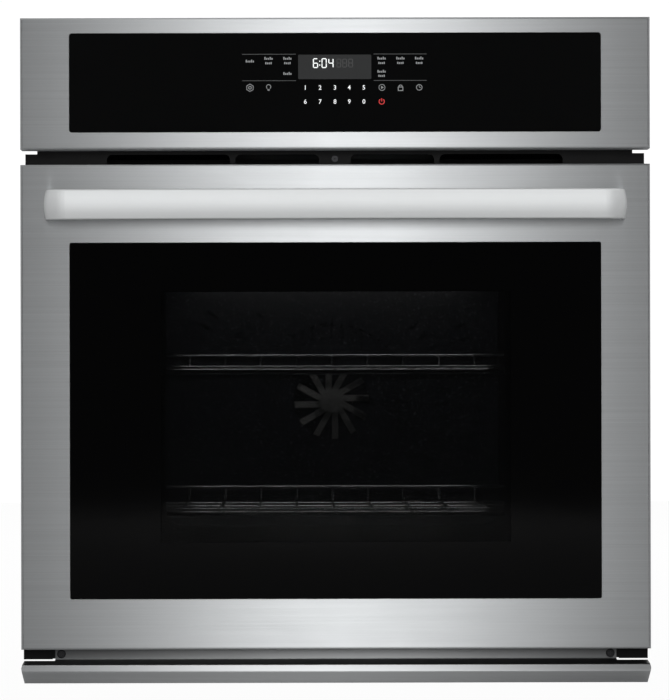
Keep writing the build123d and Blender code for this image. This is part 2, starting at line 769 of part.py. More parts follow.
with BuildPart() as front_screws:
    for side in (-1, 1):
        round_bar(side * TRIM_SCREW_X, TRIM_SCREW_Z, 4.75, -11.2, -9)
        round_bar(side * TRIM_SCREW_X, TRIM_SCREW_Z, 2, -9, -1)
    round_bar(0, VENT_SCREW_Z, 3.5, -11.1, FRAME_FRONT - 1.3)
    round_bar(0, VENT_SCREW_Z, 1.8, FRAME_FRONT - 1.3, -5)
    fillet(front_screws.faces().filter_by(Axis.Y).group_by(Axis.Y)[0].edges(), radius=1)
front_screws.part.label = "front_screws"

# ---------------------------------------------------------------- hinges, fixed half

with BuildPart() as right_hinge_receiver:
    block(HINGE_X - 6, HINGE_X + 6, BODY_FRONT, 70, 16, 48)
    block(HINGE_X - 4.5, HINGE_X + 4.5, BODY_FRONT - 1, 71, 17.5, 46.5, Mode.SUBTRACT)
right_hinge_receiver.part.label = "right_hinge_receiver"

with BuildPart() as left_hinge_receiver:
    mirror(right_hinge_receiver.part, about=Plane.YZ)
left_hinge_receiver.part.label = "left_hinge_receiver"

with BuildPart() as right_hinge_arm:
    with BuildSketch(across(HINGE_X - ARM_T / 2)):
        with Locations((PIVOT_Y, PIVOT_Z)):
            Circle(8)
        with BuildLine():
            Polyline(
                (PIVOT_Y, PIVOT_Z - 7.9),
                (-16, ARM_LOW),
                (62, ARM_LOW),
                (62, ARM_HIGH),
                (-16, ARM_HIGH),
                (PIVOT_Y, PIVOT_Z + 7.9),
                close=True,
            )
        make_face()
        with Locations((PIVOT_Y, PIVOT_Z)):
            Circle(PIN_R + PIN_FIT, mode=Mode.SUBTRACT)
    extrude(amount=ARM_T)
    cross_bar(50, 32, 3, HINGE_X - 4.5, HINGE_X + 4.5)
right_hinge_arm.part.label = "right_hinge_arm"

with BuildPart() as left_hinge_arm:
    mirror(right_hinge_arm.part, about=Plane.YZ)
left_hinge_arm.part.label = "left_hinge_arm"

with BuildPart() as door_switch:
    block(SWITCH_X - 7, SWITCH_X + 7, BODY_FRONT, 20, SWITCH_Z - 8, SWITCH_Z + 7)
    round_bar(SWITCH_X, SWITCH_Z, PLUNGER_R + SHAFT_FIT, BODY_FRONT - 1, 14, Mode.SUBTRACT)
door_switch.part.label = "door_switch"

with BuildPart() as switch_plunger:
    round_bar(SWITCH_X, SWITCH_Z, PLUNGER_R, DOOR_BACK_Y + 0.4, 8)
    fillet(switch_plunger.faces().sort_by(Axis.Y)[0].edges(), radius=1.5)
switch_plunger.part.label = "switch_plunger"

# ---------------------------------------------------------------- door

with BuildPart() as door_skin:
    block(-HALF_W, HALF_W, FRONT_Y, DOOR_BACK_Y - SKIN, DOOR_BOTTOM, DOOR_TOP)
    fillet(door_skin.faces().sort_by(Axis.Y)[0].edges(), radius=2.5)
    block(
        -HALF_W + SKIN,
        HALF_W - SKIN,
        FRONT_Y + SKIN,
        DOOR_BACK_Y,
        DOOR_BOTTOM + SKIN,
        DOOR_TOP - SKIN,
        Mode.SUBTRACT,
    )
    block(-HALF_W - 1, HALF_W + 1, -24, DOOR_BACK_Y, DOOR_BOTTOM - 1, 33, Mode.SUBTRACT)
    with BuildSketch(facing(FRONT_Y + 4)):
        rect_at(-GLASS_HALF - 1.2, GLASS_HALF + 1.2, GLASS_Z0 - 1.2, GLASS_Z1 + 1.2, 4)
    extrude(amount=3)
    with BuildSketch(facing(FRONT_Y + 5)):
        rect_at(-GLASS_HALF - 0.3, GLASS_HALF + 0.3, GLASS_Z0 - 0.3, GLASS_Z1 + 0.3, 2.3)
    extrude(amount=6, mode=Mode.SUBTRACT)
    for side in (-1, 1):
        block(side * HINGE_X - 5, side * HINGE_X + 5, -39, -20, DOOR_BOTTOM - 1, DOOR_BOTTOM + 2, Mode.SUBTRACT)
        for offset in (-7.0, 7.0):
            round_bar(side * HANDLE_END_X, HANDLE_Z + offset, 2.6, FRONT_Y - 1, FRONT_Y + 2, Mode.SUBTRACT)
door_skin.part.label = "door_skin"

with BuildPart() as door_outer_glass:
    block(-GLASS_HALF, GLASS_HALF, FRONT_Y + 0.3, FRONT_Y + 4.3, GLASS_Z0, GLASS_Z1, corner=2)
    fillet(door_outer_glass.faces().sort_by(Axis.Y)[0].edges(), radius=0.6)
door_outer_glass.part.label = "door_outer_glass"

with BuildPart() as outer_glass_frame:
    with BuildSketch(facing(FRONT_Y + 5.6)):
        rect_at(-288, 288, 50, 470, 3)
        rect_at(-270, 270, 85, 438, 3, Mode.SUBTRACT)
    extrude(amount=1.2)
outer_glass_frame.part.label = "outer_glass_frame"

with BuildPart() as glass_pack_frame:
    block(-PACK_HALF, PACK_HALF, -38, -13.1, PACK_Z0, PACK_Z1)
    block(-PACK_HALF + 1, PACK_HALF - 1, -37, -13, PACK_Z0 + 1, PACK_Z1 - 1, Mode.SUBTRACT)
    block(-191, 191, -39, -36, 125, 415, Mode.SUBTRACT)
glass_pack_frame.part.label = "glass_pack_frame"

with BuildPart() as middle_glass:
    block(-PACK_HALF + 1.2, PACK_HALF - 1.2, -36.9, -33.9, PACK_Z0 + 1.2, PACK_Z1 - 1.2)
middle_glass.part.label = "middle_glass"

with BuildPart() as inner_glass:
    block(-PACK_HALF + 1.2, PACK_HALF - 1.2, -18, -13.1, PACK_Z0 + 1.2, PACK_Z1 - 1.2)
inner_glass.part.label = "inner_glass"

with BuildPart() as glass_spacer:
    with BuildSketch(facing(-18.1)):
        rect_at(-PACK_HALF + 1.2, PACK_HALF - 1.2, PACK_Z0 + 1.2, PACK_Z1 - 1.2)
        rect_at(-PACK_HALF + 9, PACK_HALF - 9, PACK_Z0 + 9, PACK_Z1 - 9, mode=Mode.SUBTRACT)
    extrude(amount=15.7)
glass_spacer.part.label = "glass_spacer"

with BuildPart() as door_liner:
    with BuildSketch(facing(DOOR_BACK_Y)):
        rect_at(-HALF_W + 0.4, HALF_W - 0.4, 33, DOOR_TOP - 0.5, 2)
        rect_at(-WINDOW_HALF, WINDOW_HALF, WINDOW_Z0, WINDOW_Z1, 3, Mode.SUBTRACT)
    extrude(amount=SKIN)
    with BuildSketch(facing(DOOR_BACK_Y + BEAD_H)):
        for bead_x, bead_z0, bead_z1 in LINER_BEADS:
            rect_at(-bead_x, bead_x, bead_z0, bead_z1, 9)
            rect_at(-bead_x + BEAD_W, bead_x - BEAD_W, bead_z0 + BEAD_W, bead_z1 - BEAD_W, 5, Mode.SUBTRACT)
    extrude(amount=BEAD_H + SKIN / 2)
    block(-HALF_W + 1.4, HALF_W - 1.4, -24, DOOR_BACK_Y - SKIN, 33, 34)
    block(-HALF_W + 1.4, HALF_W - 1.4, -24, -23, DOOR_BOTTOM + SKIN + 0.2, 34)
    for side in (-1, 1):
        block(side * HINGE_X - 8.5, side * HINGE_X + 8.5, -30, -10, DOOR_BOTTOM, 44, Mode.SUBTRACT)
door_liner.part.label = "door_liner"

with BuildPart() as door_insulation:
    block(-288, 288, -41, -13.2, 40, 530)
    block(-PACK_HALF - 0.5, PACK_HALF + 0.5, -42, -13, PACK_Z0 - 0.5, PACK_Z1 + 0.5, Mode.SUBTRACT)
door_insulation.part.label = "door_insulation"

with BuildPart() as right_hinge_body:
    for plate_x in (HINGE_X - 7.5, HINGE_X + 6):
        block(plate_x, plate_x + 1.5, -45.5, -17, 16, 210)
    block(HINGE_X - 7.5, HINGE_X + 7.5, -46.9, -45.4, 16, 210)
    block(HINGE_X - 6, HINGE_X + 6, -45.5, -18, 200, 202)
    cross_bar(PIVOT_Y, PIVOT_Z, PIN_R, HINGE_X - 7.5, HINGE_X + 7.5)
    with BuildSketch(across(HINGE_X)):
        rect_at(-32, -28, 62, 201)
        with Locations((-30, 60)):
            Circle(4)
    extrude(amount=1, both=True)
    with BuildSketch(across(HINGE_X)) as coil_section:
        for turn in range(28):
            with Locations((-25.5, 82 + turn * 3.6)):
                Circle(2)
    revolve(axis=Axis((HINGE_X, -30, 0), (0, 0, 1)))
right_hinge_body.part.label = "right_hinge_body"

with BuildPart() as left_hinge_body:
    mirror(right_hinge_body.part, about=Plane.YZ)
left_hinge_body.part.label = "left_hinge_body"

with BuildPart() as handle_bar:
    with BuildLine() as bow:
        FilletPolyline(
            (-HANDLE_END_X, FRONT_Y, HANDLE_Z),
            (-HANDLE_END_X, HANDLE_END_Y, HANDLE_Z),
            (0, HANDLE_MID_Y, HANDLE_Z),
            (HANDLE_END_X, HANDLE_END_Y, HANDLE_Z),
            (HANDLE_END_X, FRONT_Y, HANDLE_Z),
            radius=[HANDLE_BEND_R, 4500.0, HANDLE_BEND_R],
        )
    foot_plane = Plane(origin=(-HANDLE_END_X, FRONT_Y, HANDLE_Z), x_dir=(0, 0, 1), z_dir=(0, -1, 0))
    with BuildSketch(foot_plane) as strap:
        with BuildLine():
            ThreePointArc((-HANDLE_H / 2, HANDLE_EDGE), (0, HANDLE_OUTER_BULGE), (HANDLE_H / 2, HANDLE_EDGE))
            Line((HANDLE_H / 2, HANDLE_EDGE), (HANDLE_H / 2, -HANDLE_EDGE))
            ThreePointArc((HANDLE_H / 2, -HANDLE_EDGE), (0, -HANDLE_INNER_BULGE), (-HANDLE_H / 2, -HANDLE_EDGE))
            Line((-HANDLE_H / 2, -HANDLE_EDGE), (-HANDLE_H / 2, HANDLE_EDGE))
        make_face()
        fillet(strap.vertices(), radius=2.2)
    sweep(path=bow.line)
    for side in (-1, 1):
        for offset in (-7.0, 7.0):
            round_bar(side * HANDLE_END_X, HANDLE_Z + offset, 2.5, FRONT_Y - 14, FRONT_Y, Mode.SUBTRACT)
handle_bar.part.label = "handle_bar"

with BuildPart() as handle_screws:
    for side in (-1, 1):
        for offset in (-7.0, 7.0):
            round_bar(side * HANDLE_END_X, HANDLE_Z + offset, 2.45, FRONT_Y - 12, FRONT_Y + SKIN)
            round_bar(side * HANDLE_END_X, HANDLE_Z + offset, 4.5, FRONT_Y + SKIN, FRONT_Y + SKIN + 3)
handle_screws.part.label = "handle_screws"

# ---------------------------------------------------------------- output

PIECES = (
    base_pan,
    left_side_panel,
    right_side_panel,
    rear_panel,
    top_cover,
    front_frame,
    cavity_liner,
    insulation_blanket,
    left_rack_support,
    right_rack_support,
    upper_rack,
    lower_rack,
    bake_element,
    broil_element,
    broil_supports,
    convection_element,
    fan_baffle,
    convection_fan,
    fan_motor,
    lamp_housing,
    lamp_bulb,
    lamp_lens,
    temperature_sensor,
    door_gasket,
    air_duct,
    oven_flue,
    blower_housing,
    blower_wheel,
    blower_motor,
    vent_trim,
    control_panel_frame,
    control_glass,
    display_module,
    control_board,
    junction_box,
    terminal_block,
    conduit_bush,
    right_side_flange,
    left_side_flange,
    bottom_trim,
    front_screws,
    right_hinge_receiver,
    left_hinge_receiver,
    right_hinge_arm,
    left_hinge_arm,
    door_switch,
    switch_plunger,
    door_skin,
    door_outer_glass,
    outer_glass_frame,
    glass_pack_frame,
    middle_glass,
    inner_glass,
    glass_spacer,
    door_liner,
    door_insulation,
    right_hinge_body,
    left_hinge_body,
    handle_bar,
    handle_screws,
)

os.makedirs("parts", exist_ok=True)
for piece in PIECES:
    export_step(piece.part, f"parts/{piece.part.label}.step")
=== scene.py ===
"""Looks of a built-in wall oven: brushed steel front, black glass, window on a dark cavity with
wire racks and a rear fan, and the printed control panel."""

import math

import bpy
import numpy as np
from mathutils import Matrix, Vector


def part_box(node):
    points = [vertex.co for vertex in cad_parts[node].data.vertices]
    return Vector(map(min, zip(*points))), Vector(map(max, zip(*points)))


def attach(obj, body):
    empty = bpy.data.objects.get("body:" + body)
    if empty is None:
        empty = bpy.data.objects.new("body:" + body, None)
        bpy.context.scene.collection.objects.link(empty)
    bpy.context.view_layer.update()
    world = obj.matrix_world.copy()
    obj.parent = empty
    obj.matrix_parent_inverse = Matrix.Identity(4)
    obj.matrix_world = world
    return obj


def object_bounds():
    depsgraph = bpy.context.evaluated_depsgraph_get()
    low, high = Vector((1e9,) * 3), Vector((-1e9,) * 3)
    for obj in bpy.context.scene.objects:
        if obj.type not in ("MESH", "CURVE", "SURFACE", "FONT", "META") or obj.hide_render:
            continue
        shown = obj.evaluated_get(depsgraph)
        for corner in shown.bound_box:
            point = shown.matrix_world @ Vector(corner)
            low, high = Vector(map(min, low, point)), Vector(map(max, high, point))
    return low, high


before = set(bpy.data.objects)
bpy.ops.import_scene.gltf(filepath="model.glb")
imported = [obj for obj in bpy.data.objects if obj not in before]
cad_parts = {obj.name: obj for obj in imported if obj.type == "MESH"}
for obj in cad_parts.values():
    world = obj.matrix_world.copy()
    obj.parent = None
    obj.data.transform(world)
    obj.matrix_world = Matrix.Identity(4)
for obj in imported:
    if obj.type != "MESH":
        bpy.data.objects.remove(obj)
cad_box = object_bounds()
MM = 0.001


# ------------------------------------------------------------ shared finishes, as node groups

def new_group(name, inputs, outputs):
    """An empty shader node group with named sockets: inputs (name, kind, default) and
    outputs (name, kind)."""
    group = bpy.data.node_groups.new(name, "ShaderNodeTree")
    for label, kind, value in inputs:
        socket = group.interface.new_socket(label, in_out="INPUT", socket_type=kind)
        socket.default_value = value
    for label, kind in outputs:
        group.interface.new_socket(label, in_out="OUTPUT", socket_type=kind)
    return group, group.nodes.new("NodeGroupInput"), group.nodes.new("NodeGroupOutput")


def wire(tree, source, target):
    tree.links.new(source, target)


def maths(tree, operation, first, second=0.5, clamp=False):
    """One arithmetic node; its inputs are sockets or numbers."""
    node = tree.nodes.new("ShaderNodeMath")
    node.operation = operation
    node.use_clamp = clamp
    for slot, value in enumerate((first, second)):
        if isinstance(value, (int, float)):
            node.inputs[slot].default_value = value
        else:
            wire(tree, value, node.inputs[slot])
    return node.outputs[0]


def stretched_noise(tree, stretch, detail=3.0, scale=1.0, distortion=0.0):
    """Noise on the piece's own coordinates, each axis multiplied by stretch (repeats per metre)."""
    place = tree.nodes.new("ShaderNodeTexCoord")
    mapping = tree.nodes.new("ShaderNodeMapping")
    mapping.inputs["Scale"].default_value = stretch
    wire(tree, place.outputs["Object"], mapping.inputs["Vector"])
    noise = tree.nodes.new("ShaderNodeTexNoise")
    noise.inputs["Scale"].default_value = scale
    noise.inputs["Detail"].default_value = detail
    noise.inputs["Distortion"].default_value = distortion
    wire(tree, mapping.outputs[0], noise.inputs["Vector"])
    return noise.outputs["Fac"]


def blend_colours(tree, factor, low, high, mode="MIX"):
    """Mix of two colours; each is a socket or an (r, g, b) value."""
    mix = tree.nodes.new("ShaderNodeMix")
    mix.data_type = "RGBA"
    mix.blend_type = mode
    for label, value in (("Factor", factor), ("A", low), ("B", high)):
        socket = next(s for s in mix.inputs if s.name == label and s.enabled)
        if isinstance(value, tuple):
            socket.default_value = (*value, 1.0)
        elif isinstance(value, (int, float)):
            socket.default_value = value
        else:
            wire(tree, value, socket)
    return next(s for s in mix.outputs if s.enabled)


def brush_grain_group():
    """Long fine scratches along the sheet: noise stretched 200 to 1, in two widths added together."""
    group, inside, outside = new_group(
        "brush_grain",
        [("Tone", "NodeSocketColor", (0.5, 0.5, 0.5, 1)), ("Roughness", "NodeSocketFloat", 0.3),
         ("Contrast", "NodeSocketFloat", 0.06)],
        [("Color", "NodeSocketColor"), ("Roughness", "NodeSocketFloat"), ("Height", "NodeSocketFloat")])
    fine = stretched_noise(group, (5, 5, 1900), 2.0)
    broad = stretched_noise(group, (2.2, 2.2, 420), 2.0)
    both = maths(group, "ADD", maths(group, "MULTIPLY", fine, 0.6), maths(group, "MULTIPLY", broad, 0.4))
    swing = maths(group, "MULTIPLY", maths(group, "SUBTRACT", both, 0.5), inside.outputs["Contrast"])
    light = maths(group, "ADD", 1.0, maths(group, "MULTIPLY", swing, 3.0))
    tinted = group.nodes.new("ShaderNodeVectorMath")
    tinted.operation = "SCALE"
    wire(group, inside.outputs["Tone"], tinted.inputs[0])
    wire(group, light, tinted.inputs["Scale"])
    wire(group, tinted.outputs[0], outside.inputs["Color"])
    wire(group, maths(group, "ADD", inside.outputs["Roughness"], swing), outside.inputs["Roughness"])
    wire(group, both, outside.inputs["Height"])
    return group


def handled_group():
    """Faint wiping marks and finger haze: slow cloudy noise that moves the roughness up and down."""
    group, inside, outside = new_group(
        "handled_surface",
        [("Roughness", "NodeSocketFloat", 0.1), ("Amount", "NodeSocketFloat", 0.05)],
        [("Roughness", "NodeSocketFloat"), ("Mask", "NodeSocketFloat")])
    cloud = stretched_noise(group, (9, 9, 14), 4.0, distortion=0.8)
    swing = maths(group, "MULTIPLY", maths(group, "SUBTRACT", cloud, 0.45), inside.outputs["Amount"])
    wire(group, maths(group, "ADD", inside.outputs["Roughness"], swing, True), outside.inputs["Roughness"])
    wire(group, cloud, outside.inputs["Mask"])
    return group


def fleck_group():
    """Vitreous enamel flecks: a small spot at the middle of some cells of a fine cell pattern."""
    group, inside, outside = new_group(
        "enamel_flecks",
        [("Ground", "NodeSocketColor", (0.02, 0.02, 0.03, 1)),
         ("Fleck", "NodeSocketColor", (0.4, 0.42, 0.46, 1))],
        [("Color", "NodeSocketColor"), ("Mask", "NodeSocketFloat")])
    place = group.nodes.new("ShaderNodeTexCoord")
    cells = group.nodes.new("ShaderNodeTexVoronoi")
    cells.inputs["Scale"].default_value = 260
    wire(group, place.outputs["Object"], cells.inputs["Vector"])
    spot = maths(group, "LESS_THAN", cells.outputs["Distance"], 0.24)
    chosen = maths(group, "GREATER_THAN", stretched_noise(group, (310, 310, 310), 0.0), 0.52)
    mask = maths(group, "MULTIPLY", spot, chosen)
    flecked = blend_colours(group, mask, inside.outputs["Ground"], inside.outputs["Fleck"])
    wire(group, flecked, outside.inputs["Color"])
    wire(group, mask, outside.inputs["Mask"])
    return group


def spangle_group():
    """Zinc spangle: large crystal cells, each a slightly different grey."""
    group, inside, outside = new_group(
        "zinc_spangle",
        [("Tone", "NodeSocketColor", (0.5, 0.5, 0.5, 1)), ("Amount", "NodeSocketFloat", 0.3)],
        [("Color", "NodeSocketColor"), ("Value", "NodeSocketFloat")])
    place = group.nodes.new("ShaderNodeTexCoord")
    cells = group.nodes.new("ShaderNodeTexVoronoi")
    cells.inputs["Scale"].default_value = 150
    wire(group, place.outputs["Object"], cells.inputs["Vector"])
    grey = group.nodes.new("ShaderNodeSeparateColor")
    wire(group, cells.outputs["Color"], grey.inputs[0])
    swing = maths(group, "MULTIPLY", maths(group, "SUBTRACT", grey.outputs[0], 0.5), inside.outputs["Amount"])
    tinted = group.nodes.new("ShaderNodeVectorMath")
    tinted.operation = "SCALE"
    wire(group, inside.outputs["Tone"], tinted.inputs[0])
    wire(group, maths(group, "ADD", 1.0, swing), tinted.inputs["Scale"])
    wire(group, tinted.outputs[0], outside.inputs["Color"])
    wire(group, grey.outputs[0], outside.inputs["Value"])
    return group


BRUSH = brush_grain_group()
HANDLED = handled_group()
FLECKS = fleck_group()
SPANGLE = spangle_group()


def finish_named(name, **sockets):
    """A new material with one Principled shader; sockets are its plain values."""
    material = bpy.data.materials.new(name)
    material.use_nodes = True
    tree = material.node_tree
    shader = tree.nodes["Principled BSDF"]
    for label, value in sockets.items():
        label = label.replace("_", " ")
        shader.inputs[label].default_value = (*value, 1.0) if isinstance(value, tuple) else value
    return material, tree, shader


def placed(tree, group, **values):
    """A node of a shared group, with its own values."""
    node = tree.nodes.new("ShaderNodeGroup")
    node.node_tree = group
    for label, value in values.items():
        node.inputs[label].default_value = (*value, 1.0) if isinstance(value, tuple) else value
    return node


def bump_from(tree, shader, height, strength, distance):
    bump = tree.nodes.new("ShaderNodeBump")
    bump.inputs["Strength"].default_value = strength
    bump.inputs["Distance"].default_value = distance
    wire(tree, height, bump.inputs["Height"])
    wire(tree, bump.outputs[0], shader.inputs["Normal"])


def brushed(name, tone, roughness, anisotropy, contrast):
    """Steel brushed along its length: bright across the grain, sharp along it."""
    material, tree, shader = finish_named(name, Metallic=1.0, Anisotropic=anisotropy,
                                          Anisotropic_Rotation=0.25)
    grain = placed(tree, BRUSH, Tone=tone, Roughness=roughness, Contrast=contrast)
    marks = placed(tree, HANDLED, Amount=0.03)
    wire(tree, grain.outputs["Roughness"], marks.inputs["Roughness"])
    wire(tree, grain.outputs["Color"], shader.inputs["Base Color"])
    wire(tree, marks.outputs["Roughness"], shader.inputs["Roughness"])
    bump_from(tree, shader, grain.outputs["Height"], 0.12, 0.00004)
    along = tree.nodes.new("ShaderNodeCombineXYZ")
    for axis, value in zip("XYZ", (1.0, 0.03, 0.02)):
        along.inputs[axis].default_value = value
    wire(tree, along.outputs[0], shader.inputs["Tangent"])
    return material


def paint_shade_in_fold(material, steps):
    """Paints shade into the sheet's colour in the deep fold under the door: the colour there is darkened as
    painted shade. steps is (height in metres, factor) pairs going
    up: the colour is multiplied by the factor of the last height passed, and by 1 below them all."""
    tree = material.node_tree
    shader = tree.nodes["Principled BSDF"]
    colour = shader.inputs["Base Color"].links[0].from_socket
    place = tree.nodes.new("ShaderNodeTexCoord")
    split = tree.nodes.new("ShaderNodeSeparateXYZ")
    wire(tree, place.outputs["Object"], split.inputs[0])
    factor, before = 1.0, 1.0
    for height, after in steps:
        passed = maths(tree, "GREATER_THAN", split.outputs["Z"], height)
        factor = maths(tree, "ADD", maths(tree, "MULTIPLY", passed, after - before), factor)
        before = after
    # painted shade: the base colour is scaled down by the height factor
    painted_shade_colour = tree.nodes.new("ShaderNodeVectorMath")
    painted_shade_colour.operation = "SCALE"
    wire(tree, colour, painted_shade_colour.inputs[0])
    wire(tree, factor, painted_shade_colour.inputs["Scale"])
    wire(tree, painted_shade_colour.outputs[0], shader.inputs["Base Color"])


def enamel(name, ground, roughness, flecked):
    """Fired enamel or paint: glossy coat with a faint orange-peel ripple."""
    material, tree, shader = finish_named(name, Base_Color=ground, Roughness=roughness)
    marks = placed(tree, HANDLED, Roughness=roughness, Amount=0.08)
    wire(tree, marks.outputs["Roughness"], shader.inputs["Roughness"])
    if flecked:
        flecks = placed(tree, FLECKS, Ground=ground)
        wire(tree, flecks.outputs["Color"], shader.inputs["Base Color"])
    else:
        cloudy = blend_colours(tree, marks.outputs["Mask"], ground, tuple(1.35 * c for c in ground))
        wire(tree, cloudy, shader.inputs["Base Color"])
    bump_from(tree, shader, stretched_noise(tree, (420, 420, 420), 1.0), 0.08, 0.0001)
    return material


def zinc(name, tone, roughness):
    """Galvanised sheet with its crystal pattern."""
    material, tree, shader = finish_named(name, Metallic=0.9)
    spangle = placed(tree, SPANGLE, Tone=tone, Amount=0.14)
    wire(tree, spangle.outputs["Color"], shader.inputs["Base Color"])
    uneven = maths(tree, "ADD", maths(tree, "MULTIPLY", spangle.outputs["Value"], 0.16), roughness)
    wire(tree, uneven, shader.inputs["Roughness"])
    return material


def wool(name, tone):
    """Mineral wool: tangled fibres, light and dark."""
    material, tree, shader = finish_named(name, Roughness=0.95)
    fibre = stretched_noise(tree, (160, 160, 700), 6.0, distortion=1.5)
    wire(tree, blend_colours(tree, fibre, tuple(0.55 * c for c in tone), tone), shader.inputs["Base Color"])
    bump_from(tree, shader, fibre, 0.9, 0.002)
    return material


def bright_wire(name, tone, roughness):
    """Plated or bare round metal, with faint drawing marks."""
    material, tree, shader = finish_named(name, Metallic=1.0)
    marks = placed(tree, HANDLED, Roughness=roughness, Amount=0.12)
    wire(tree, marks.outputs["Roughness"], shader.inputs["Roughness"])
    hazed = blend_colours(tree, marks.outputs["Mask"], tuple(0.85 * c for c in tone), tone)
    wire(tree, hazed, shader.inputs["Base Color"])
    return material


def moulded(name, tone, roughness, grain=900):
    """Moulded or printed part with a fine matt grain."""
    material, tree, shader = finish_named(name)
    texture = stretched_noise(tree, (grain, grain, grain), 2.0)
    wire(tree, blend_colours(tree, texture, tuple(0.8 * c for c in tone), tone), shader.inputs["Base Color"])
    uneven = maths(tree, "ADD", maths(tree, "MULTIPLY", texture, 0.12), roughness)
    wire(tree, uneven, shader.inputs["Roughness"])
    bump_from(tree, shader, texture, 0.15, 0.0001)
    return material


def clear_pane(name, tint, cover):
    """Thin clear pane: mostly seen through, with its own faint tint and sharp reflection."""
    material, tree, shader = finish_named(name, Base_Color=tint, Specular_IOR_Level=0.5)
    marks = placed(tree, HANDLED, Roughness=0.05, Amount=0.04)
    wire(tree, marks.outputs["Roughness"], shader.inputs["Roughness"])
    haze = maths(tree, "ADD", maths(tree, "MULTIPLY", marks.outputs["Mask"], 0.03), cover)
    wire(tree, haze, shader.inputs["Alpha"])
    return material


def window_pane(name, low, high, cover):
    """Outer door glass: black fired border, and a smoked clear window between the corners low and high."""
    material, tree, shader = finish_named(name, Base_Color=(0.0035, 0.0035, 0.0038), Specular_IOR_Level=0.12)
    marks = placed(tree, HANDLED, Roughness=0.05, Amount=0.04)
    wire(tree, marks.outputs["Roughness"], shader.inputs["Roughness"])
    place = tree.nodes.new("ShaderNodeTexCoord")
    split = tree.nodes.new("ShaderNodeSeparateXYZ")
    wire(tree, place.outputs["Object"], split.inputs[0])
    inside = None
    for axis, start, end in (("X", low[0], high[0]), ("Z", low[1], high[1])):
        both = maths(tree, "MULTIPLY", maths(tree, "GREATER_THAN", split.outputs[axis], start),
                     maths(tree, "LESS_THAN", split.outputs[axis], end))
        inside = both if inside is None else maths(tree, "MULTIPLY", inside, both)
    solid_share = maths(tree, "SUBTRACT", 1.0, maths(tree, "MULTIPLY", inside, 1.0 - cover))
    wire(tree, solid_share, shader.inputs["Alpha"])
    return material


def braid(name, tone):
    """Woven glass-fibre gasket: two crossing sets of ridges."""
    material, tree, shader = finish_named(name, Roughness=0.9)
    place = tree.nodes.new("ShaderNodeTexCoord")
    ridges = []
    for turn in (0.785, -0.785):
        mapping = tree.nodes.new("ShaderNodeMapping")
        mapping.inputs["Rotation"].default_value = (0, turn, 0)
        wire(tree, place.outputs["Object"], mapping.inputs["Vector"])
        wave = tree.nodes.new("ShaderNodeTexWave")
        wave.inputs["Scale"].default_value = 130
        wire(tree, mapping.outputs[0], wave.inputs["Vector"])
        ridges.append(wave.outputs["Fac"])
    weave = maths(tree, "MAXIMUM", ridges[0], ridges[1])
    wire(tree, blend_colours(tree, weave, tuple(0.4 * c for c in tone), tone), shader.inputs["Base Color"])
    bump_from(tree, shader, weave, 0.8, 0.0006)
    return material


def board(name):
    """Circuit board: green mask over a maze of copper tracks."""
    material, tree, shader = finish_named(name, Roughness=0.35)
    place = tree.nodes.new("ShaderNodeTexCoord")
    bricks = tree.nodes.new("ShaderNodeTexBrick")
    bricks.inputs["Scale"].default_value = 120
    bricks.inputs["Color1"].default_value = (0.01, 0.09, 0.035, 1)
    bricks.inputs["Color2"].default_value = (0.012, 0.13, 0.05, 1)
    bricks.inputs["Mortar"].default_value = (0.05, 0.24, 0.1, 1)
    mapping = tree.nodes.new("ShaderNodeMapping")
    mapping.inputs["Rotation"].default_value = (math.pi / 2, 0, 0)
    wire(tree, place.outputs["Object"], mapping.inputs["Vector"])
    wire(tree, mapping.outputs[0], bricks.inputs["Vector"])
    wire(tree, bricks.outputs["Color"], shader.inputs["Base Color"])
    return material


steel = brushed("brushed_stainless_finish", (0.60, 0.615, 0.625), 0.40, 1.0, 0.12)
# painted light: the trim is a copy of the door steel painted lighter, tone 0.72 against 0.60
trim_steel_painted_light_and_shade = brushed("trim_stainless_painted_light_and_shade", (0.72, 0.735, 0.745), 0.40, 1.0, 0.07)
# painted shade: the ledge and the strip in the fold under the door are darkened in the colour
paint_shade_in_fold(trim_steel_painted_light_and_shade, ((-0.0046, 0.05), (-0.0008, 0.38)))
handle_satin = brushed("satin_handle_finish", (0.80, 0.815, 0.82), 0.55, 0.0, 0.02)
handle_satin.node_tree.nodes["Principled BSDF"].inputs["Metallic"].default_value = 0.5
galvanised = zinc("galvanised_finish", (0.52, 0.53, 0.54), 0.32)
black_enamel = enamel("black_enamel_finish", (0.004, 0.004, 0.0045), 0.42, False)
black_enamel.node_tree.nodes["Principled BSDF"].inputs["Specular IOR Level"].default_value = 0.12
cavity_enamel = enamel("cavity_enamel_finish", (0.030, 0.033, 0.042), 0.22, True)
liner_enamel = enamel("door_liner_finish", (0.022, 0.024, 0.030), 0.25, True)
mineral_wool = wool("mineral_wool_finish", (0.78, 0.70, 0.50))
chrome = bright_wire("chrome_wire_finish", (0.80, 0.81, 0.82), 0.14)
bare_metal = bright_wire("bare_metal_finish", (0.62, 0.62, 0.61), 0.34)
sheath = bright_wire("element_sheath_finish", (0.10, 0.095, 0.09), 0.5)
panel_glass = enamel("control_glass_finish", (0.0075, 0.0078, 0.008), 0.06, False)
panel_glass.node_tree.nodes["Principled BSDF"].inputs["Specular IOR Level"].default_value = 0.14
outer_pane = window_pane("door_glass_finish", (-0.1905, 0.1288), (0.1905, 0.4021), 0.42)
clear = clear_pane("clear_glass_finish", (0.10, 0.11, 0.11), 0.10)
lens_glass = clear_pane("lamp_glass_finish", (0.55, 0.56, 0.56), 0.35)
gasket = braid("gasket_braid_finish", (0.16, 0.16, 0.165))
screw_black = bright_wire("black_screw_finish", (0.03, 0.03, 0.032), 0.36)
plastic = moulded("black_plastic_finish", (0.03, 0.03, 0.032), 0.45)
circuit = board("circuit_board_finish")

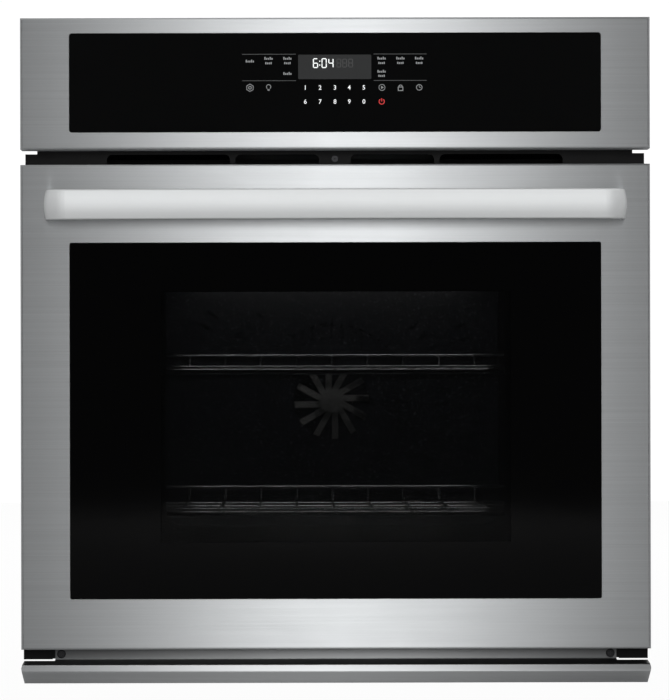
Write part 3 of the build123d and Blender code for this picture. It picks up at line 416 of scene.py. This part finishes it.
NODE_FINISH = {
    steel: "door_skin control_panel_frame",
    trim_steel_painted_light_and_shade: "bottom_trim",
    handle_satin: "handle_bar",
    galvanised: "base_pan left_side_panel right_side_panel rear_panel top_cover oven_flue junction_box"
                " blower_housing outer_glass_frame glass_pack_frame right_hinge_receiver left_hinge_receiver"
                " fan_motor blower_motor lamp_housing glass_spacer",
    black_enamel: "front_frame air_duct vent_trim left_side_flange right_side_flange",
    cavity_enamel: "cavity_liner fan_baffle",
    liner_enamel: "door_liner",
    mineral_wool: "insulation_blanket door_insulation",
    chrome: "upper_rack lower_rack left_rack_support right_rack_support",
    bare_metal: "broil_supports temperature_sensor convection_fan blower_wheel right_hinge_arm left_hinge_arm"
                " right_hinge_body left_hinge_body handle_screws conduit_bush",
    sheath: "bake_element broil_element convection_element",
    panel_glass: "control_glass",
    outer_pane: "door_outer_glass",
    clear: "middle_glass inner_glass",
    lens_glass: "lamp_lens lamp_bulb",
    gasket: "door_gasket",
    screw_black: "front_screws",
    plastic: "display_module terminal_block door_switch switch_plunger",
    circuit: "control_board",
}
for finish, names in NODE_FINISH.items():
    for node_name in names.split():
        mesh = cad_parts[node_name].data
        mesh.materials.clear()
        mesh.materials.append(finish)


# ------------------------------------------------------------ printed control panel

glass_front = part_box("control_glass")[0][1]
PRINT_T = 0.10 * MM


def outline_prism(outlines, front_y, thickness):
    """Vertices and faces of flat shapes standing in the XZ plane: each outline is an (n, 2) array in
    millimetres, run counter-clockwise from the front, copied to a back plane, with a wall between."""
    vertices, faces = [], []
    for outline in outlines:
        outline = np.asarray(outline, float) * MM
        count, base = len(outline), sum(len(v) for v in vertices)
        front = np.column_stack([outline[:, 0], np.full(count, front_y), outline[:, 1]])
        back = front + (0.0, thickness, 0.0)
        vertices += [front, back]
        ring = np.arange(count)
        faces.append((base + ring).tolist())
        faces.append((base + count + ring[::-1]).tolist())
        after = np.roll(ring, -1)
        wall = [base + ring, base + count + ring, base + count + after, base + after]
        faces += np.column_stack(wall).tolist()
    return np.concatenate(vertices), faces


def make_piece(name, vertices, faces, finish, body="chassis"):
    """A mesh object at the origin from arrays, riding on one body."""
    mesh = bpy.data.meshes.new(name)
    mesh.from_pydata(np.asarray(vertices).tolist(), [], faces)
    mesh.update()
    mesh.materials.append(finish)
    piece = bpy.data.objects.new(name, mesh)
    bpy.context.collection.objects.link(piece)
    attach(piece, body)
    return piece


def rounded(x0, x1, z0, z1, radius, steps=6):
    """Rectangle with quarter-circle corners, counter-clockwise from the front."""
    turn = np.linspace(0, np.pi / 2, steps)
    arcs = [(x1 - radius, z0 + radius, -np.pi / 2), (x1 - radius, z1 - radius, 0.0),
            (x0 + radius, z1 - radius, np.pi / 2), (x0 + radius, z0 + radius, np.pi)]
    return np.concatenate([np.column_stack([cx + radius * np.cos(a + turn), cz + radius * np.sin(a + turn)])
                           for cx, cz, a in arcs])


def ring_strip(cx, cz, outer, inner, start=0.0, end=2 * np.pi, steps=28):
    """Part of a flat ring as one outline: the outer arc out, the inner arc back."""
    angle = np.linspace(start, end, steps)
    out = np.column_stack([cx + outer * np.cos(angle), cz + outer * np.sin(angle)])
    back = np.column_stack([cx + inner * np.cos(angle[::-1]), cz + inner * np.sin(angle[::-1])])
    return np.concatenate([out, back])


def bar(x0, z0, x1, z1, width):
    """A straight stroke of a given width between two points."""
    start, end = np.array([x0, z0]), np.array([x1, z1])
    along = (end - start) / np.linalg.norm(end - start)
    side = np.array([-along[1], along[0]]) * width / 2
    return np.array([start - side, end - side, end + side, start + side])


SEGMENTS = {
    "0": "abcdef", "1": "bc", "2": "abged", "3": "abgcd", "4": "fgbc", "5": "afgcd",
    "6": "afgedc", "7": "abc", "8": "abcdefg", "9": "abcdfg",
}


def seven_segment(character, x, z, width, height, stroke):
    """The lit bars of one digit; x, z is its lower left corner."""
    mid, gap = z + height / 2, stroke * 0.35
    strokes = {
        "a": (x + gap, z + height, x + width - gap, z + height), "g": (x + gap, mid, x + width - gap, mid),
        "d": (x + gap, z, x + width - gap, z), "f": (x, mid + gap, x, z + height - gap),
        "e": (x, z + gap, x, mid - gap), "b": (x + width, mid + gap, x + width, z + height - gap),
        "c": (x + width, z + gap, x + width, mid - gap),
    }
    return [bar(*strokes[s], stroke) for s in SEGMENTS[character]]


# glow is an emission: on the printed white, grey, line and red inks it is painted light, as print is no lamp;
# on the clock segments it is the lit display
def printed(name, colour, roughness=0.5, glow=0.0):
    material, tree, shader = finish_named(name, Roughness=roughness, Emission_Strength=glow,
                                          Emission_Color=colour)
    ink = stretched_noise(tree, (1500, 1500, 1500), 1.0)
    wire(tree, blend_colours(tree, ink, tuple(0.88 * c for c in colour), colour), shader.inputs["Base Color"])
    return material


# painted light: these printed inks glow though they are no lamp
white_ink = printed("white_ink_finish", (0.85, 0.86, 0.87), glow=0.75)
grey_ink = printed("grey_ink_finish", (0.42, 0.43, 0.44), glow=0.25)
line_ink = printed("line_ink_finish", (0.16, 0.165, 0.165), glow=0.1)
red_ink = printed("red_ink_finish", (0.80, 0.05, 0.05), glow=0.5)
clock_ink = printed("clock_segment_finish", (0.90, 0.93, 0.92), glow=1.0)
lcd_grey = printed("display_window_finish", (0.068, 0.070, 0.071), 0.5)
lcd_grey.node_tree.nodes["Principled BSDF"].inputs["Specular IOR Level"].default_value = 0.2
ghost_ink = printed("ghost_segment_finish", (0.095, 0.098, 0.099), 0.4)

ROW_1, ROW_2 = 623.7, 608.4
layers = {"display_window": (lcd_grey, [rounded(-40, 39.6, 632.9, 659.5, 1.2)])}

clock_digits, ghost_digits = [], []
for character, left in (("6", -23.4), ("0", -14.0), ("4", -6.6)):
    clock_digits += seven_segment(character, left, 645.5, 4.6, 9.6, 1.0)
for dot_z in (647.6, 651.8):
    clock_digits.append(rounded(-17.1, -15.9, dot_z, dot_z + 1.2, 0.3))
for left in (2.2, 8.6, 15.0):
    ghost_digits += seven_segment("8", left, 646.0, 4.2, 8.6, 0.8)

RULE_HALF = 0.28
rules = [rounded(x0, x1, z - RULE_HALF, z + RULE_HALF, 0.1) for z in (660.1, 631.3)
         for x0, x1 in ((-101.0, -42.5), (42.2, 99.9))]

icons = [
    ring_strip(-92.5, ROW_1, 4.4, 3.6, math.pi / 6, 13 * math.pi / 6, 7),
    ring_strip(-92.5, ROW_1, 1.9, 1.1),
    ring_strip(-72.2, ROW_1 + 0.9, 2.7, 2.0, -0.9, math.pi + 0.9),
    bar(-73.5, ROW_1 - 1.9, -70.9, ROW_1 - 1.9, 0.7),
    bar(-73.3, ROW_1 - 3.0, -71.1, ROW_1 - 3.0, 0.7),
    bar(68.9, ROW_1 - 3.4, 73.9, ROW_1 - 3.4, 0.8), bar(68.9, ROW_1 + 0.4, 73.9, ROW_1 + 0.4, 0.8),
    bar(68.9, ROW_1 - 3.8, 68.9, ROW_1 + 0.8, 0.8), bar(73.9, ROW_1 - 3.8, 73.9, ROW_1 + 0.8, 0.8),
    ring_strip(71.4, ROW_1 + 0.8, 2.2, 1.4, 0.0, math.pi),
    ring_strip(91.8, ROW_1, 3.4, 2.7), bar(91.8, ROW_1, 91.8, ROW_1 + 2.2, 0.6),
    bar(91.8, ROW_1, 93.6, ROW_1 - 0.2, 0.6),
    ring_strip(51.2, ROW_1, 3.6, 3.0), np.array([(50.2, ROW_1 - 1.7), (53.2, ROW_1), (50.2, ROW_1 + 1.7)]),
]
stop_icon = [ring_strip(50.9, ROW_2, 3.3, 2.4, math.pi / 2 + 0.6, 2.5 * math.pi - 0.6),
             bar(50.9, ROW_2, 50.9, ROW_2 + 3.4, 0.9)]

CAPTION_PITCH = 1.9
captions = []
for x, heights in ((-92.5, (652.4,)), (-72.2, (655.3, 650.4)), (-51.6, (655.3, 650.4, 638.8)),
                   (50.9, (655.3, 650.4, 641.0, 636.4)), (71.4, (655.3, 650.4)), (91.8, (655.3, 650.4))):
    for count, z in enumerate(heights):
        pips = 5 - count % 2
        starts = x + (np.arange(pips) - pips / 2) * CAPTION_PITCH
        tall = 1.5 if count % 2 == 0 else 1.2
        captions += [rounded(s + 0.2, s + 1.5, z - 1.2, z - 1.2 + (2 * tall if n in (0, 3) else 2.0), 0.3, 3)
                     for n, s in enumerate(starts)]

layers["clock_digits"] = (clock_ink, clock_digits)
layers["ghost_digits"] = (ghost_ink, ghost_digits)
layers["rule_lines"] = (line_ink, rules)
layers["panel_icons"] = (grey_ink, icons)
layers["panel_captions"] = (grey_ink, captions)
layers["stop_icon"] = (red_ink, stop_icon)
for layer_name, (ink, outlines) in layers.items():
    depth = 2 * PRINT_T if layer_name in ("clock_digits", "ghost_digits") else PRINT_T
    points, polygons = outline_prism(outlines, glass_front - depth, PRINT_T)
    make_piece(layer_name, points, polygons, ink)


def keypad_number(character, x, z):
    """One raised-print numeral from the built-in typeface, as a mesh in place."""
    text = bpy.data.curves.new(f"numeral_{character}", "FONT")
    text.body = character
    text.size = 6.8
    text.align_x = "CENTER"
    text.extrude = 0.05
    text.offset = 0.07
    text.resolution_u = 3
    holder = bpy.data.objects.new(f"numeral_{character}_shape", text)
    bpy.context.collection.objects.link(holder)
    bpy.context.view_layer.update()
    mesh = bpy.data.meshes.new_from_object(holder.evaluated_get(bpy.context.evaluated_depsgraph_get()))
    flat = np.empty(len(mesh.vertices) * 3)
    mesh.vertices.foreach_get("co", flat)
    flat = flat.reshape(-1, 3)
    flat = np.column_stack([flat[:, 0] + x, -flat[:, 2], flat[:, 1] + z - 2.25]) * MM
    flat[:, 1] += glass_front - 0.05 * MM
    mesh.vertices.foreach_set("co", flat.ravel())
    mesh.materials.clear()
    mesh.materials.append(white_ink)
    mesh.update()
    bpy.data.objects.remove(holder)
    piece = bpy.data.objects.new(f"numeral_{character}", mesh)
    bpy.context.collection.objects.link(piece)
    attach(piece, "chassis")


for row_z, row in ((ROW_1, "12345"), (ROW_2, "67890")):
    for number_x, character in zip((-32.3, -16.2, 0.0, 15.6, 31.5), row):
        keypad_number(character, number_x, row_z)


# ------------------------------------------------------------ small fittings

def paint_recess_shade(name, x, front_y, z, size):
    """The cross-shaped driver recess of a pan-head screw, drawn as two crossed dark bars: painted shade for
    the hollow, laid flat just in front of the screw head.
    """
    strokes = [bar(x - size, z, x + size, z, size * 0.42), bar(x, z - size, x, z + size, size * 0.42)]
    points, polygons = outline_prism(strokes, front_y - 0.05 * MM, 0.06 * MM)
    make_piece(name, points, polygons, plastic)


SCREW_RECESSES = (
    ("left", -301.1, -0.0112, 5.4, 2.3),
    ("right", 301.1, -0.0112, 5.4, 2.3),
    ("vent", 0, -0.0111, 548, 1.7),
)
# painted shade: each recess is a flat dark cross laid on its screw head
for label, screw_x, screw_y, screw_z, size in SCREW_RECESSES:
    paint_recess_shade(f"{label}_screw_cross_shade", screw_x, screw_y, screw_z, size)


# ------------------------------------------------------------ stage, lights and camera

def studio_floor():
    """A flat pale sheet, level with the lowest point of the object, 14 m square. It looks evenly lit,
    while the object sees it as a dim grey sheet."""
    level = float(cad_box[0][2]) - 0.0005
    corners = np.array([(-7, -7, level), (7, -7, level), (7, 7, level), (-7, 7, level)])
    mesh = bpy.data.meshes.new("studio_floor")
    mesh.from_pydata(corners.tolist(), [], [(0, 1, 2, 3)])
    material, tree, shader = finish_named("studio_floor_finish", Base_Color=(0.35, 0.35, 0.35), Roughness=0.9)
    seen = tree.nodes.new("ShaderNodeEmission")
    seen.inputs["Color"].default_value = (1.03, 1.03, 1.03, 1)
    path_kind = tree.nodes.new("ShaderNodeLightPath")
    mix = tree.nodes.new("ShaderNodeMixShader")
    wire(tree, maths(tree, "MULTIPLY", path_kind.outputs["Is Camera Ray"], 0.94), mix.inputs[0])
    wire(tree, shader.outputs[0], mix.inputs[1])
    wire(tree, seen.outputs[0], mix.inputs[2])
    wire(tree, mix.outputs[0], tree.nodes["Material Output"].inputs[0])
    mesh.materials.append(material)
    floor = bpy.data.objects.new("studio_floor", mesh)
    bpy.context.collection.objects.link(floor)


def soft_light(name, place, aim, width, height, watts):
    """A rectangular soft light at place, facing aim."""
    lamp = bpy.data.lights.new(name, "AREA")
    lamp.shape = "RECTANGLE"
    lamp.size, lamp.size_y, lamp.energy = width, height, watts
    holder = bpy.data.objects.new(name, lamp)
    holder.location = place
    holder.rotation_euler = (Vector(aim) - Vector(place)).to_track_quat("-Z", "Y").to_euler()
    holder.visible_camera = False
    bpy.context.collection.objects.link(holder)
    return holder


studio_floor()
key = soft_light("key_strip", (0.054, -6.0, 1.05), (0.054, 0, 1.05), 0.45, 2.1, 49)
soft_light("rear_fill", (0.5, 4.5, 2.8), (0, 0.3, 0.3), 3.0, 2.0, 60)
soft_light("cavity_glow", (0.0, 0.12, 0.455), (0, 0.30, 0.1), 0.35, 0.12, 0.25)

# The strip is flagged off the polished glass, so it leaves no bright bar there
flagged = bpy.data.collections.new("flagged_from_key_strip")
for pane in ("control_glass", "door_outer_glass", "middle_glass", "inner_glass"):
    flagged.objects.link(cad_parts[pane])
for entry in flagged.collection_objects:
    entry.light_linking.link_state = "EXCLUDE"
key.light_linking.receiver_collection = flagged

# A front soft box flagged off everything but the handle, whose satin face it fills evenly
handle_card = soft_light("handle_card", (0.0, -2.6, 1.5), (0, 0, 0.5), 4.2, 1.6, 34)
only_handle = bpy.data.collections.new("lit_by_handle_card")
only_handle.objects.link(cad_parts["handle_bar"])
handle_card.light_linking.receiver_collection = only_handle


def studio_room():
    """Even white behind the object for the camera. What the object sees is a pale room, dim straight
    ahead of its front: radiance = dim + (bright - dim) * smoothstep(cosine of the compass angle from
    the front direction, from 0.93 down to 0.55)."""
    dim, bright = 0.075, 0.62
    world = bpy.data.worlds.new("studio_world")
    bpy.context.scene.world = world
    world.use_nodes = True
    sky = world.node_tree
    direction = sky.nodes.new("ShaderNodeTexCoord")
    split = sky.nodes.new("ShaderNodeSeparateXYZ")
    wire(sky, direction.outputs["Generated"], split.inputs[0])
    across, ahead = split.outputs["X"], split.outputs["Y"]
    level = maths(sky, "SQRT", maths(sky, "ADD", maths(sky, "MULTIPLY", across, across),
                                     maths(sky, "MULTIPLY", ahead, ahead)))
    compass = maths(sky, "DIVIDE", maths(sky, "MULTIPLY", ahead, -1.0), level)
    ramp = sky.nodes.new("ShaderNodeMapRange")
    ramp.interpolation_type = "SMOOTHSTEP"
    for label, value in (("From Min", 0.93), ("From Max", 0.55), ("To Min", dim), ("To Max", bright)):
        ramp.inputs[label].default_value = value
    wire(sky, compass, ramp.inputs["Value"])
    path_kind = sky.nodes.new("ShaderNodeLightPath")
    mix = sky.nodes.new("ShaderNodeMixShader")
    room = sky.nodes["Background"]
    wire(sky, ramp.outputs[0], room.inputs["Color"])
    white = sky.nodes.new("ShaderNodeBackground")
    white.inputs["Color"].default_value = (1, 1, 1, 1)
    white.inputs["Strength"].default_value = 1.05
    wire(sky, path_kind.outputs["Is Camera Ray"], mix.inputs[0])
    wire(sky, room.outputs[0], mix.inputs[1])
    wire(sky, white.outputs[0], mix.inputs[2])
    wire(sky, mix.outputs[0], sky.nodes["World Output"].inputs[0])


studio_room()

camera_data = bpy.data.cameras.new("front_camera")
camera_data.lens = 226.79
camera_data.sensor_width = 36.0
camera_data.shift_x = 0.0556
camera_data.shift_y = 0.0395
camera_data.clip_end = 60
camera = bpy.data.objects.new("front_camera", camera_data)
camera.location = (-0.043, -4.848, 0.308)
camera.rotation_euler = (math.radians(90), math.radians(0.126), 0)
bpy.context.collection.objects.link(camera)
bpy.context.scene.camera = camera
bpy.context.scene.view_settings.view_transform = "Standard"
